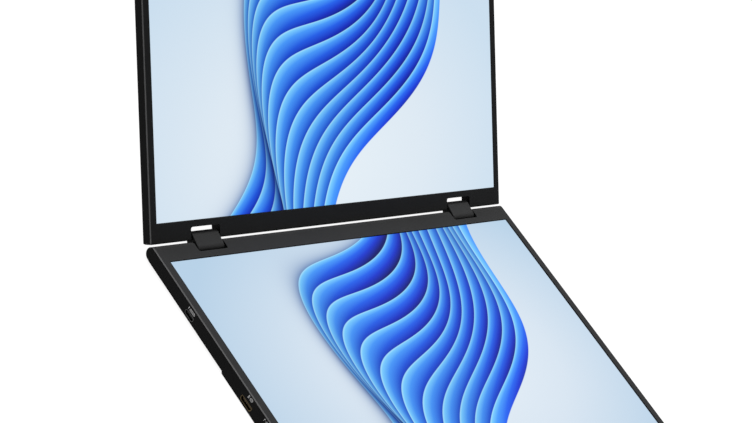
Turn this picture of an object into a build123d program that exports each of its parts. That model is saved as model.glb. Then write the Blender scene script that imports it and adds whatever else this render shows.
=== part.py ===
from build123d import *
from math import cos, radians, sin, sqrt
import os

# A folding pair of portable monitors, one above the other on two double-axis hinge links.
# The lower panel lies on its feet with the screen up, and the upper panel stands open behind it.
# X runs along the long edges, Y from the front edge back to the hinges, Z up.
# Each panel is drawn in a frame of its own first, with its front face at z = 0 and its hinge
# edge at y = 0: the lower panel runs towards -Y from there and the upper panel towards +Y.
# The finished pieces move to an origin under the middle of the whole object, on the table.

# Displays and panel outlines
screen_width = 344.16
screen_height = 193.59
side_bezel = 5.82
lower_hinge_bezel = 12.2
upper_hinge_bezel = 12.0
far_bezel = 6.5
lower_thickness = 9.1
upper_thickness = 7.2
raised_depth = 1.4
raised_start = 90.3
nose_radius = 4.4
nose_set_back = 1.95
underside_ramp = 2.0
front_corner_radius = 3.0
upper_hinge_corner_radius = 1.5
upper_back_round = 2.2
upper_front_round = 1.0
upper_edge_overhang = 0.5
rim_chamfer = 0.6
underside_chamfer = 0.2

# Shells
bezel_plate = 1.0
bezel_lip = 0.45
rebate_gap = 0.1
side_wall = 1.4
floor_wall = 1.1
seam_gap = 0.05
bezel_lip_chamfer = 0.15

# Display modules
cell_thickness = 0.9
backlight_thickness = 1.9
module_side_margin = 3.25
module_hinge_margin = 2.4
module_far_margin = 4.7
stack_gap = 0.05
driver_board_margin = 25.0
driver_board_depth = 7.0
driver_board_thickness = 0.5
driver_board_set_back = 1.5
cable_set_back = 4.5
cable_thickness = 0.2
cable_width = 20.0
cable_knee = 9.0
cable_overlap = 5.0
cable_ramp_end = 3.0

# Hinge
opening_angle = 137.3
hinge_from_side = 48.6
notch_width = 26.0
link_width = 23.6
lower_axis_set_back = 2.1
lower_axis_depth = 4.3
axis_distance = 8.7
lower_barrel_radius = 4.7
upper_barrel_radius = 3.05
lower_notch_depth = 7.3
upper_notch_depth = 7.9
upper_axis_height = 2.0
notch_wall = 1.1
notch_corner_radius = 1.5
link_edge_round = 0.6
lower_pin_radius = 1.5
upper_pin_radius = 0.9
pin_reach = 10.2
pin_running_clearance = 0.05
pin_press_clearance = 0.01
pin_hole_clearance = 0.3
pin_end_chamfer = 0.2
lower_knuckle_radius = 2.6
upper_knuckle_radius = 1.6
knuckle_pocket_gap = 0.1
knuckle_length = 8.0
knuckle_side_gap = 0.4
upper_bracket_drop = 0.3
bracket_wing = 8.0
bracket_web = 12.0
lower_bracket_plate = 0.8
upper_bracket_plate = 0.6
bracket_notch_gap = 0.3
bracket_screw_bite = 1.0

# Screws
case_screw_head_radius = 1.9
case_screw_shank_radius = 0.95
case_screw_bore_gap = 0.05
case_screw_engagement = 2.2
case_boss_radius = 2.1
case_screw_line = 6.0
case_screw_from_side = 12.9
case_screw_middle_pitch = 25.0
small_screw_head_radius = 1.6
small_screw_head_height = 0.7
small_screw_shank_radius = 0.8
recess_width = 0.45
recess_depth = 0.45
recess_reach = 1.05

# Main board and ports
board_side_gap = 0.6
board_width = 68.0
board_rear = 36.0
board_front = 158.0
board_thickness = 0.8
board_top_depth = 5.3
board_post_radius = 2.0
board_cutout_gap = 0.3
board_post_from_left = 13.0
board_post_from_right = 6.0
board_post_from_end = 3.5
board_screw_bite = 1.0
shield_from_left = 42.0
shield_from_rear = 27.0
shield_width = 30.0
shield_depth = 22.0
shield_height = 1.1
shield_wall = 0.2
chip_grid = 1.0
port_mouth_inset = 0.15
port_hole_gap = 0.15
usb_c_width = 8.94
usb_c_height = 3.26
usb_c_length = 7.35
usb_c_shell_wall = 0.3
usb_c_tongue_width = 6.69
usb_c_tongue_thickness = 0.7
usb_c_tongue_length = 4.45
usb_c_rear_place = 49.4
usb_c_rear_depth = 6.3
usb_c_front_from_board_end = 16.0
usb_c_front_depth = 7.4
mini_hdmi_width = 11.2
mini_hdmi_height = 3.3
mini_hdmi_length = 7.5
mini_hdmi_bevel = 1.0
mini_hdmi_corner_radius = 0.45
mini_hdmi_shell_wall = 0.35
mini_hdmi_tongue_width = 8.4
mini_hdmi_tongue_thickness = 0.8
mini_hdmi_tongue_length = 4.6
mini_hdmi_place = 116.6
mini_hdmi_depth = 7.5
insulator_length = 1.6

# Buttons on the right side
button_travel = 0.5
button_proud = 0.7
button_height = 2.6
button_gap = 0.15
button_edge = 0.3
rocker_hole_gap = 0.3
button_flange = 0.8
button_flange_thickness = 0.7
button_depth = 5.3
power_button_length = 9.0
power_button_place = 52.0
rocker_length = 18.0
rocker_place = 76.0
rocker_swing = 3.0
rocker_pin_radius = 0.5
switch_width = 3.4
switch_depth = 2.4
switch_height = 2.2
switch_gap = 0.35
switch_rest_gap = 0.1
rocker_switch_from_end = 3.0
button_board_margin = 3.0
ear_width = 3.0
ear_wall = 0.5
ear_gap = 0.1
button_board_thickness = 0.8

# Speakers
speaker_length = 34.0
speaker_width = 12.0
speaker_height = 3.4
speaker_corner = 1.5
speaker_from_side = 45.9
speaker_from_front = 34.29
grille_slot_length = 7.0
grille_slot_width = 1.0
grille_slot_pitch = 2.6
grille_slot_count = 11

# Feet
foot_clearance = 0.6
rear_foot_inset = 4.0
rear_foot_width = 8.0
rear_foot_start = 38.0
rear_foot_length = 62.0
front_foot_inset = 3.5
front_foot_width = 5.5
front_foot_from_side = 15.9
front_foot_length = 50.0
foot_round = 0.4
foot_corner_share = 0.4

# Kickstand
stand_from_side = 78.5
stand_reach = 96.0
stand_plate = 1.3
stand_barrel_radius = 1.5
stand_axis_place = 99.8
stand_side_gap = 0.6
stand_end_gap = 0.6
stand_roof_gap = 0.3
stand_channel_gap = 0.5
stand_pin_radius = 0.8
stand_pin_grip = 8.0
stand_pin_reach = 5.0
stand_lug = 7.0
stand_lug_wall = 1.2
stand_strip_depth = 1.5
stand_strip_margin = 2.0
stand_edge_round = 0.3
stand_set_back = 0.05
finger_scoop_width = 26.0
finger_scoop_length = 8.0
finger_scoop_depth = 0.9

# Worked out from the sizes above
panel_width = screen_width + 2 * side_bezel
module_width = screen_width + 2 * module_side_margin
half_width = panel_width / 2
hinge_centre_x = half_width - hinge_from_side
case_screw_end = half_width - case_screw_from_side
case_screw_places = (
    -case_screw_end, -case_screw_middle_pitch, 0.0, case_screw_middle_pitch, case_screw_end
)
lower_length = lower_hinge_bezel + screen_height + far_bezel
upper_length = upper_hinge_bezel + screen_height + far_bezel
speaker_place_x = half_width - speaker_from_side
speaker_place = lower_length - speaker_from_front
front_foot_start = half_width - front_foot_from_side - front_foot_length
stand_width = 2 * (half_width - stand_from_side)
usb_c_front_place = board_front - usb_c_front_from_board_end
full_thickness = lower_thickness + raised_depth
nose_inner_radius = nose_radius - floor_wall
throat_reach = nose_inner_radius / 2
cavity_half_width = half_width - side_wall
cover_top = -bezel_plate - seam_gap
floor_rear = floor_wall - lower_thickness
floor_front = floor_wall - full_thickness
floor_upper = floor_wall - upper_thickness
driver_board_width = module_width - 2 * driver_board_margin
cell_top = -bezel_lip - stack_gap
backlight_top = cell_top - cell_thickness
backlight_bottom = backlight_top - backlight_thickness
board_top = -board_top_depth
board_bottom = board_top - board_thickness
boss_split = cover_top - case_screw_engagement - case_screw_bore_gap
lean = 180.0 - opening_angle
link_rise = lean / 2
lower_axis_y = -lower_axis_set_back
lower_axis_z = -lower_axis_depth
upper_axis_y = lower_axis_y + axis_distance * cos(radians(link_rise))
upper_axis_z = lower_axis_z + axis_distance * sin(radians(link_rise))
upper_axis_depth = upper_barrel_radius
upper_origin_y = upper_axis_y - upper_axis_height * cos(radians(lean)) - upper_axis_depth * sin(radians(lean))
upper_origin_z = upper_axis_z - upper_axis_height * sin(radians(lean)) + upper_axis_depth * cos(radians(lean))
upper_back_drop = upper_thickness - upper_back_round
table_depth = full_thickness + foot_clearance


def block(x0, x1, y0, y1, z0, z1):
    solid = Box(x1 - x0, y1 - y0, z1 - z0)
    return Pos((x0 + x1) / 2, (y0 + y1) / 2, (z0 + z1) / 2) * solid


def rod(radius, x0, x1, y, z):
    return Pos((x0 + x1) / 2, y, z) * Rot(0, 90, 0) * Cylinder(radius, x1 - x0)


def post(radius, x, y, z0, z1):
    return Pos(x, y, (z0 + z1) / 2) * Cylinder(radius, z1 - z0)


def area(y0, y1, z0, z1):
    return Pos((y0 + y1) / 2, (z0 + z1) / 2) * Rectangle(y1 - y0, z1 - z0)


def across(profile, x0, x1):
    return Pos(x0, 0, 0) * extrude(Plane.YZ * profile, x1 - x0, dir=(1, 0, 0))


# Outer forms of the two panels

def cross_section(thickness, back_round):
    front = Pos(0, -thickness / 2) * Rectangle(panel_width, thickness)
    if back_round > 0:
        front = fillet(front.vertices().group_by(Axis.Y)[0], back_round)
    return chamfer(front.vertices().group_by(Axis.Y)[-1], rim_chamfer)


def lower_outline():
    flat = Polygon(
        (-lower_length, 0),
        (-lower_length, -lower_thickness),
        (-nose_set_back - underside_ramp, -lower_thickness),
        (-nose_set_back, -2 * nose_radius),
        (-nose_set_back, 0),
        align=None,
    )
    raised = Polygon(
        (-raised_start, -nose_radius),
        (-lower_length, -nose_radius),
        (-lower_length, -full_thickness),
        (-raised_start - raised_depth, -full_thickness),
        (-raised_start, -lower_thickness),
        align=None,
    )
    plate = across(flat + raised, -half_width, half_width)
    corners = plate.edges().filter_by(Axis.Z).filter_by(lambda edge: edge.center().Y < -raised_start)
    plate = fillet(corners, front_corner_radius)
    rim = plate.faces().sort_by(Axis.Z)[-1].edges().filter_by(
        lambda edge: edge.center().Y < -nose_set_back - 1
    )
    plate = chamfer(rim, rim_chamfer)
    base = plate.faces().sort_by(Axis.Z)[0].edges().filter_by(
        lambda edge: edge.center().Y < -raised_start - raised_depth - 1
    )
    plate = chamfer(base, underside_chamfer)
    nose = across(Pos(-nose_set_back, -nose_radius) * Circle(nose_radius), -half_width, half_width)
    end_rims = extrude(Plane.XZ * cross_section(lower_thickness, 0), lower_thickness, both=True)
    return plate + (nose & end_rims)


def upper_outline():
    side = area(-upper_edge_overhang, upper_length, -upper_thickness, 0)
    side = fillet(side.vertices().group_by(Axis.Y)[0], upper_back_round)
    side = fillet(side.vertices().group_by(Axis.Y)[-1], upper_back_round)
    back = area(-upper_edge_overhang, upper_length, -upper_thickness, -upper_back_round)
    square_front = area(-upper_edge_overhang, upper_length, -upper_back_round, 0)
    square_front = fillet(square_front.vertices().group_by(Axis.Z)[-1], upper_front_round)
    side = (side & back) + square_front
    length = upper_length + upper_edge_overhang
    plan = Rectangle(panel_width, length)
    plan = fillet(plan.vertices().group_by(Axis.Y)[0], upper_hinge_corner_radius)
    plan = fillet(plan.vertices().group_by(Axis.Y)[-1], front_corner_radius)
    plan = Pos(0, length / 2 - upper_edge_overhang, -upper_thickness) * plan
    solid = across(side, -half_width, half_width)
    solid = solid & extrude(plan, upper_thickness)
    front = Plane.XZ * cross_section(upper_thickness, upper_back_round - upper_front_round)
    return solid & (Pos(0, upper_length + 1, 0) * extrude(front, length + 2))


def notch(centre_x, side, depth, extra):
    reach = depth + extra
    half = notch_width / 2 + extra
    low = min(side * reach, -side * nose_radius * 2)
    high = max(side * reach, -side * nose_radius * 2)
    cut = block(centre_x - half, centre_x + half, low, high, -2 * full_thickness, full_thickness)
    deep_end = cut.edges().filter_by(Axis.Z).sort_by(lambda edge: side * edge.center().Y)[-2:]
    return fillet(deep_end, notch_corner_radius + extra)


def screen_opening(side, hinge_bezel):
    near = side * hinge_bezel
    far = side * (hinge_bezel + screen_height)
    low = min(near, far)
    high = max(near, far)
    return block(-screen_width / 2, screen_width / 2, low, high, -full_thickness, 1)


def display_rebate(side, hinge_bezel):
    near = side * (hinge_bezel - module_hinge_margin - rebate_gap)
    far = side * (hinge_bezel + screen_height + module_far_margin + rebate_gap)
    half = module_width / 2 + rebate_gap
    return block(-half, half, min(near, far), max(near, far), -full_thickness, -bezel_lip)


# Front bezels, rebated behind so that a thin lip overlaps the display

def front_bezel(outline, side, hinge_bezel, notch_depth):
    plate = outline & block(-panel_width, panel_width, -panel_width, panel_width, -bezel_plate, 1)
    plate = plate - screen_opening(side, hinge_bezel) - display_rebate(side, hinge_bezel)
    lip = plate.faces().sort_by(Axis.Z)[-1].inner_wires()[0].edges()
    plate = chamfer(lip, bezel_lip_chamfer)
    for centre_x in (-hinge_centre_x, hinge_centre_x):
        plate = plate - notch(centre_x, side, notch_depth, 0)
    for x in case_screw_places:
        y = side * case_screw_line
        plate = plate + post(case_boss_radius, x, y, boss_split, -bezel_plate)
        bore = case_screw_shank_radius + case_screw_bore_gap
        plate = plate - post(bore, x, y, boss_split - 1, cover_top)
    return plate


# Case screws, countersunk into the back of a cover

def case_screw_solid(x, y, underside, gap):
    head = case_screw_head_radius + gap
    shank = case_screw_shank_radius + gap
    drop = head - shank
    cone = Pos(x, y, underside + drop / 2) * Cone(head, shank, drop)
    return cone + post(shank, x, y, underside + drop, cover_top - case_screw_bore_gap + gap)


def cross_recess(x, y, face, into):
    low = min(face, face + into)
    high = max(face, face + into)
    half = recess_width / 2
    arm = block(x - recess_reach, x + recess_reach, y - half, y + half, low, high)
    return arm + block(x - half, x + half, y - recess_reach, y + recess_reach, low, high)


def case_screws(side, underside):
    screws = []
    for x in case_screw_places:
        y = side * case_screw_line
        screw = case_screw_solid(x, y, underside, 0)
        screws.append(screw - cross_recess(x, y, underside, recess_depth))
    return Compound(children=screws)


def case_screw_fixings(cover, side, underside, floor):
    for x in case_screw_places:
        y = side * case_screw_line
        cover = cover + post(case_boss_radius, x, y, floor - floor_wall / 2, boss_split - case_screw_bore_gap)
        cover = cover - case_screw_solid(x, y, underside, case_screw_bore_gap)
    return cover


# Small pan-head screws that hold the board and the hinge brackets

def small_screw(x, y, seat, tip):
    head = post(small_screw_head_radius, x, y, seat, seat + small_screw_head_height)
    shank = post(small_screw_shank_radius, x, y, tip, seat)
    return head + shank - cross_recess(x, y, seat + small_screw_head_height, -recess_depth)


# Hinge brackets: a leaf under the display with a knuckle each side of the notch

bracket_inner = notch_width / 2 + notch_wall + knuckle_side_gap
bracket_outer = bracket_inner + knuckle_length
bracket_wing_end = bracket_outer + bracket_wing
bracket_screw_offset = bracket_outer + bracket_wing / 2
lower_plate_top = -board_top_depth
lower_plate_bottom = lower_plate_top - lower_bracket_plate
upper_plate_bottom = -upper_axis_depth - upper_knuckle_radius - upper_bracket_drop
upper_plate_top = upper_plate_bottom + upper_bracket_plate
lower_screw_line = (lower_axis_set_back + lower_notch_depth + notch_wall) / 2
upper_screw_line = (upper_axis_height + upper_notch_depth + notch_wall) / 2


def hinge_bracket(
    centre_x, side, axis_line, axis_z, knuckle, pin, bottom, top, notch_depth, screw_line
):
    web_start = notch_depth + notch_wall + bracket_notch_gap
    web_end = web_start + bracket_web
    low = min(side * web_start, side * web_end)
    high = max(side * web_start, side * web_end)
    leaf = block(centre_x - bracket_wing_end, centre_x + bracket_wing_end, low, high, bottom, top)
    low = min(side * axis_line, side * web_end)
    high = max(side * axis_line, side * web_end)
    for hand in (-1, 1):
        ends = sorted((centre_x + hand * bracket_inner, centre_x + hand * bracket_wing_end))
        leaf = leaf + block(ends[0], ends[1], low, high, bottom, top)
        ends = sorted((centre_x + hand * bracket_inner, centre_x + hand * bracket_outer))
        leaf = leaf + rod(knuckle, ends[0], ends[1], side * axis_line, axis_z)
        bore = post(
            small_screw_shank_radius + case_screw_bore_gap,
            centre_x + hand * bracket_screw_offset,
            side * screw_line,
            bottom - 1,
            top + 1,
        )
        leaf = leaf - bore
    reach = bracket_outer + 1
    bore = rod(pin + pin_running_clearance, centre_x - reach, centre_x + reach, side * axis_line, axis_z)
    return leaf - bore


def bracket_screw_places(side, screw_line):
    places = []
    for centre_x in (-hinge_centre_x, hinge_centre_x):
        for hand in (-1, 1):
            places.append((centre_x + hand * bracket_screw_offset, side * screw_line))
    return places


# Hinge links and their pins, drawn along +Y from the lower axis and then tilted

def hinge_link(centre_x):
    turn = (lower_barrel_radius - upper_barrel_radius) / axis_distance
    level = sqrt(1 - turn * turn)
    big = lower_barrel_radius
    small = upper_barrel_radius
    flanks = Polygon(
        (big * turn, big * level),
        (big * turn, -big * level),
        (axis_distance + small * turn, -small * level),
        (axis_distance + small * turn, small * level),
        align=None,
    )
    profile = flanks + Circle(big) + Pos(axis_distance, 0) * Circle(small)
    link = across(profile, centre_x - link_width / 2, centre_x + link_width / 2)
    rims = link.faces().filter_by(Axis.X).edges()
    link = fillet(rims, link_edge_round)
    reach = link_width
    lower_bore = rod(lower_pin_radius + pin_press_clearance, centre_x - reach, centre_x + reach, 0, 0)
    upper_bore = rod(
        upper_pin_radius + pin_press_clearance, centre_x - reach, centre_x + reach, axis_distance, 0
    )
    return link_place * (link - lower_bore - upper_bore)


def hinge_pin(centre_x, radius, along):
    reach = link_width / 2 + pin_reach
    pin = rod(radius, centre_x - reach, centre_x + reach, along, 0)
    pin = chamfer(pin.edges().filter_by(GeomType.CIRCLE), pin_end_chamfer)
    return link_place * pin


# Ports

def usb_c_outline(gap):
    return SlotOverall(usb_c_width + 2 * gap, usb_c_height + 2 * gap)


def mini_hdmi_outline(gap):
    half = mini_hdmi_width / 2 + gap
    tall = mini_hdmi_height / 2 + gap
    foot = half - mini_hdmi_bevel
    shoulder = -tall + mini_hdmi_bevel
    outline = Polygon(
        (-half, shoulder), (-foot, -tall), (foot, -tall), (half, shoulder), (half, tall), (-half, tall),
        align=None,
    )
    return fillet(outline.vertices(), mini_hdmi_corner_radius + gap)


def port_shell(outline, wall, place, depth, length):
    start = port_mouth_inset - half_width
    centre = Pos(-place, -depth)
    shell = across(centre * outline(0), start, start + length)
    return shell - across(centre * outline(-wall), start - 1, start + length - wall)


def port_insert(outline, wall, place, depth, length, width, thickness, reach):
    back = port_mouth_inset - half_width + length - wall - stack_gap
    centre = Pos(-place, -depth)
    body = across(centre * outline(-wall - pin_press_clearance), back - insulator_length, back)
    start = back - insulator_length - reach
    half = thickness / 2
    tongue = block(start, back, -place - width / 2, -place + width / 2, -depth - half, -depth + half)
    return body + tongue


def port_hole(outline, place, depth):
    return across(Pos(-place, -depth) * outline(port_hole_gap), -half_width - 1, 1 - cavity_half_width)


def port_cutout(width, place, length):
    end = port_mouth_inset - half_width + length + board_cutout_gap
    half = width / 2 + board_cutout_gap
    return block(-panel_width, end, -place - half, -place + half, -full_thickness, 0)


# Main board

board_left = -cavity_half_width + board_side_gap
board_right = board_left + board_width
board_post_left = board_left + board_post_from_left
board_post_right = board_right - board_post_from_right
board_post_rear = -board_rear - board_post_from_end
board_post_front = -board_front + board_post_from_end
board_post_places = (
    (board_post_left, board_post_rear),
    (board_post_right, board_post_rear),
    (board_post_left, board_post_front),
    (board_post_right, board_post_front),
)
cable_x = (board_left + board_right) / 2


def main_board():
    board = block(board_left, board_right, -board_front, -board_rear, board_bottom, board_top)
    board = board - port_cutout(usb_c_width, usb_c_rear_place, usb_c_length)
    board = board - port_cutout(usb_c_width, usb_c_front_place, usb_c_length)
    board = board - port_cutout(mini_hdmi_width, mini_hdmi_place, mini_hdmi_length)
    for x, y in board_post_places:
        board = board - post(small_screw_shank_radius + case_screw_bore_gap, x, y, -full_thickness, 0)
    return board


# Each chip: from the left edge, from the rear edge, half width, half depth and height, on the grid
chip_layout = (
    (34, 28, 6.5, 6.5, 0.7),
    (50, 26, 4, 5.5, 0.8),
    (22, 60, 3, 3, 0.9),
    (34, 66, 4.5, 3.5, 0.8),
    (30, 96, 3.5, 3.5, 0.8),
    (52, 92, 2.5, 2, 0.7),
)


def board_chips():
    chips = []
    for from_left, from_rear, half_wide, half_deep, tall in chip_layout:
        x = board_left + from_left * chip_grid
        y = -board_rear - from_rear * chip_grid
        wide = half_wide * chip_grid
        deep = half_deep * chip_grid
        chips.append(block(x - wide, x + wide, y - deep, y + deep, board_top, board_top + tall * chip_grid))
    return Compound(children=chips)


def board_shield():
    left = board_left + shield_from_left - shield_width / 2
    front = -board_rear - shield_from_rear - shield_depth / 2
    right = left + shield_width
    rear = front + shield_depth
    top = board_top + shield_height
    shell = block(left, right, front, rear, board_top, top)
    return shell - block(
        left + shield_wall, right - shield_wall, front + shield_wall, rear - shield_wall,
        -full_thickness, top - shield_wall,
    )


def board_screws():
    tip = board_bottom - board_screw_bite
    screws = [small_screw(x, y, board_top, tip) for x, y in board_post_places]
    return Compound(children=screws)


# Buttons on the right side, with their small board

button_outer = half_width + button_proud
button_inner = cavity_half_width - stack_gap
flange_inner = button_inner - button_flange_thickness
power_switch_face = flange_inner - button_travel - switch_rest_gap
rocker_inner = cavity_half_width - switch_gap
rocker_axis_x = cavity_half_width - button_gap - rocker_pin_radius
rocker_switch_offset = rocker_length / 2 - rocker_switch_from_end
rocker_sweep = (rocker_switch_offset + switch_width / 2) * sin(radians(rocker_swing))
rocker_switch_face = rocker_inner - rocker_sweep - switch_rest_gap
button_board_face = power_switch_face - switch_height
button_low = -button_depth - button_height / 2
button_high = -button_depth + button_height / 2


def power_button():
    low = -power_button_place - power_button_length / 2
    high = low + power_button_length
    cap = block(flange_inner, button_outer, low, high, button_low, button_high)
    cap = chamfer(cap.faces().sort_by(Axis.X)[-1].edges(), button_edge)
    low = low - button_flange
    high = high + button_flange
    return cap + block(flange_inner, button_inner, low, high, button_low, button_high)


def menu_rocker():
    low = -rocker_place - rocker_length / 2
    high = low + rocker_length
    cap = block(rocker_inner, button_outer, low, high, button_low, button_high)
    cap = chamfer(cap.faces().sort_by(Axis.X)[-1].edges(), button_edge)
    hub = post(rocker_pin_radius * 2, rocker_axis_x, -rocker_place, button_low, button_high)
    axle = post(
        rocker_pin_radius, rocker_axis_x, -rocker_place, button_low - ear_wall, button_high + ear_wall
    )
    return cap + hub + axle


def rocker_ears():
    inner = rocker_axis_x - rocker_pin_radius - pin_running_clearance
    low = -rocker_place - ear_width / 2
    high = -rocker_place + ear_width / 2
    inner = inner - ear_gap
    top = block(inner, cavity_half_width, low, high, button_high + ear_gap, button_high + ear_gap + ear_wall)
    bottom = block(inner, cavity_half_width, low, high, floor_rear, button_low - ear_gap)
    return top + bottom


def button_hole(place, length, gap):
    half = length / 2 + gap
    return block(
        cavity_half_width - 1, half_width + 1, -place - half, -place + half, button_low - button_gap,
        button_high + button_gap,
    )


def button_board():
    board = block(
        button_board_face - button_board_thickness,
        button_board_face,
        -rocker_place - rocker_length / 2 - button_board_margin,
        -power_button_place + power_button_length / 2 + button_board_margin,
        floor_rear,
        backlight_bottom - stack_gap,
    )
    return board


def button_switches():
    half = switch_width / 2
    low = -button_depth - switch_depth / 2
    high = -button_depth + switch_depth / 2
    y = -power_button_place
    switches = [block(button_board_face, power_switch_face, y - half, y + half, low, high)]
    for hand in (-1, 1):
        y = -rocker_place + hand * rocker_switch_offset
        switches.append(block(button_board_face, rocker_switch_face, y - half, y + half, low, high))
    return Compound(children=switches)


# Speakers near the front corners, over slots in the floor

def speaker(hand):
    x = hand * speaker_place_x
    half = speaker_length / 2
    low = -speaker_place - speaker_width / 2
    box = block(x - half, x + half, low, low + speaker_width, floor_front, floor_front + speaker_height)
    return fillet(box.edges().filter_by(Axis.Z), speaker_corner)


def speaker_grille(hand):
    slots = []
    for step in range(grille_slot_count):
        x = hand * speaker_place_x + (step - (grille_slot_count - 1) / 2) * grille_slot_pitch
        slot = SlotOverall(grille_slot_length, grille_slot_width, rotation=90)
        slot = Pos(x, -speaker_place, -full_thickness - 1) * slot
        slots.append(extrude(slot, floor_wall + 1.5))
    return slots


# Kickstand, folded into a pocket of the raised section

stand_axis_y = -stand_axis_place
stand_axis_z = stand_barrel_radius + stand_set_back - full_thickness
stand_half = stand_width / 2
pocket_half = stand_half + stand_side_gap
pocket_roof = stand_set_back + stand_plate + stand_roof_gap - full_thickness
channel_roof = stand_axis_z + stand_barrel_radius + stand_roof_gap
channel_back = stand_axis_y + stand_barrel_radius + stand_channel_gap
channel_front = stand_axis_y - stand_barrel_radius - stand_channel_gap
pocket_front = stand_axis_y - stand_reach - stand_end_gap


def stand_pocket(grow):
    low = -full_thickness - 1
    half = pocket_half + grow
    back = channel_back + grow
    pocket = block(-half, half, pocket_front - grow, back, low, pocket_roof + grow)
    channel = block(-half, half, channel_front - grow, back, low, channel_roof + grow)
    return pocket + channel


def finger_scoop(grow):
    half = finger_scoop_width / 2 + grow
    low = pocket_front - finger_scoop_length - grow
    high = -full_thickness + finger_scoop_depth + grow
    return block(-half, half, low, pocket_front + 1, -full_thickness - 1, high)


def stand_lug_block(hand):
    ends = sorted((hand * pocket_half, hand * (pocket_half + stand_lug)))
    reach = stand_pin_radius + stand_lug_wall
    return block(
        ends[0], ends[1], stand_axis_y - reach, stand_axis_y + reach, -full_thickness + floor_wall / 2,
        stand_axis_z + reach,
    )


def kickstand_plate():
    bottom = stand_set_back - full_thickness
    front = stand_axis_y - stand_reach + stand_strip_depth
    plate = block(-stand_half, stand_half, front, stand_axis_y, bottom, bottom + stand_plate)
    corners = plate.edges().filter_by(Axis.Z).group_by(Axis.Y)[0]
    plate = fillet(corners, stand_edge_round)
    barrel = rod(stand_barrel_radius, -stand_half, stand_half, stand_axis_y, stand_axis_z)
    plate = plate + barrel
    for hand in (-1, 1):
        ends = sorted((hand * (stand_half - stand_pin_grip), hand * (stand_half + 1)))
        bore = stand_pin_radius + pin_press_clearance
        plate = plate - rod(bore, ends[0], ends[1], stand_axis_y, stand_axis_z)
    return plate


def kickstand_pins():
    pins = []
    for hand in (-1, 1):
        ends = sorted((
            hand * (stand_half - stand_pin_grip),
            hand * (stand_half + stand_side_gap + stand_pin_reach),
        ))
        pins.append(rod(stand_pin_radius, ends[0], ends[1], stand_axis_y, stand_axis_z))
    return Compound(children=pins)


def kickstand_strip():
    bottom = stand_set_back - full_thickness
    front = stand_axis_y - stand_reach
    half = stand_half - stand_strip_margin
    strip = block(-half, half, front, front + stand_strip_depth, bottom, bottom + stand_plate)
    return fillet(strip.faces().sort_by(Axis.Y)[0].edges().filter_by(Axis.X), stand_edge_round)


# Feet

def foot_strip(start, length, rear, width, top):
    foot = block(start, start + length, rear - width, rear, -table_depth, top)
    foot = fillet(foot.edges().filter_by(Axis.Z), width * foot_corner_share)
    return chamfer(foot.faces().sort_by(Axis.Z)[0].edges(), foot_round)


def feet(start, length, rear, width, top):
    right = foot_strip(start, length, rear, width, top)
    left = foot_strip(-start - length, length, rear, width, top)
    return Compound(children=[left, right])


# Rear covers

def lower_cavity():
    flat = area(side_wall - lower_length, -nose_set_back, floor_rear, 1)
    nose = Pos(-nose_set_back, -nose_radius) * Circle(nose_inner_radius)
    throat = area(-nose_set_back, throat_reach - nose_set_back, -nose_radius, 1)
    shift = floor_wall * (sqrt(2) - 1)
    raised = Polygon(
        (-raised_start - shift, -nose_radius),
        (side_wall - lower_length, -nose_radius),
        (side_wall - lower_length, floor_front),
        (-raised_start - shift - raised_depth, floor_front),
        (-raised_start - shift, floor_rear),
        align=None,
    )
    cavity = across(flat + nose + throat + raised, -cavity_half_width, cavity_half_width)
    for centre_x in (-hinge_centre_x, hinge_centre_x):
        cavity = cavity - notch(centre_x, -1, lower_notch_depth, notch_wall)
    cavity = cavity - stand_pocket(floor_wall)
    cavity = cavity - finger_scoop(floor_wall)
    for hand in (-1, 1):
        cavity = cavity - stand_lug_block(hand)
    return cavity - rocker_ears()


def lower_rear_cover(outline):
    cover = outline & block(-panel_width, panel_width, -panel_width, panel_width, -panel_width, cover_top)
    cover = cover - lower_cavity()
    for centre_x in (-hinge_centre_x, hinge_centre_x):
        cover = cover - notch(centre_x, -1, lower_notch_depth, 0)
        reach = notch_width / 2 + notch_wall + 1
        hole = lower_pin_radius + pin_hole_clearance
        cover = cover - rod(hole, centre_x - reach, centre_x + reach, lower_axis_y, lower_axis_z)
    cover = case_screw_fixings(cover, -1, -lower_thickness, floor_rear)
    bore = small_screw_shank_radius + case_screw_bore_gap
    for x, y in bracket_screw_places(-1, lower_screw_line):
        cover = cover + post(board_post_radius, x, y, floor_rear, lower_plate_bottom - stack_gap)
        tip = lower_plate_bottom - bracket_screw_bite - stack_gap
        cover = cover - post(bore, x, y, tip, lower_plate_bottom)
    for x, y in board_post_places:
        floor = floor_rear if y > -raised_start else floor_front
        cover = cover + post(board_post_radius, x, y, floor, board_bottom - stack_gap)
        cover = cover - post(bore, x, y, board_bottom - board_screw_bite - stack_gap, board_bottom)
    cover = cover - port_hole(usb_c_outline, usb_c_rear_place, usb_c_rear_depth)
    cover = cover - port_hole(usb_c_outline, usb_c_front_place, usb_c_front_depth)
    cover = cover - port_hole(mini_hdmi_outline, mini_hdmi_place, mini_hdmi_depth)
    cover = cover - button_hole(power_button_place, power_button_length, button_gap)
    cover = cover - button_hole(rocker_place, rocker_length, rocker_hole_gap)
    axle = rocker_pin_radius + pin_running_clearance
    cover = cover - post(
        axle, rocker_axis_x, -rocker_place, button_low - ear_wall - ear_gap, button_high + 2 * ear_wall
    )
    for hand in (-1, 1):
        for slot in speaker_grille(hand):
            cover = cover - slot
    cover = cover - stand_pocket(0) - finger_scoop(0)
    reach = stand_half + stand_side_gap + stand_pin_reach + stack_gap
    return cover - rod(stand_pin_radius + pin_running_clearance, -reach, reach, stand_axis_y, stand_axis_z)


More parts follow.
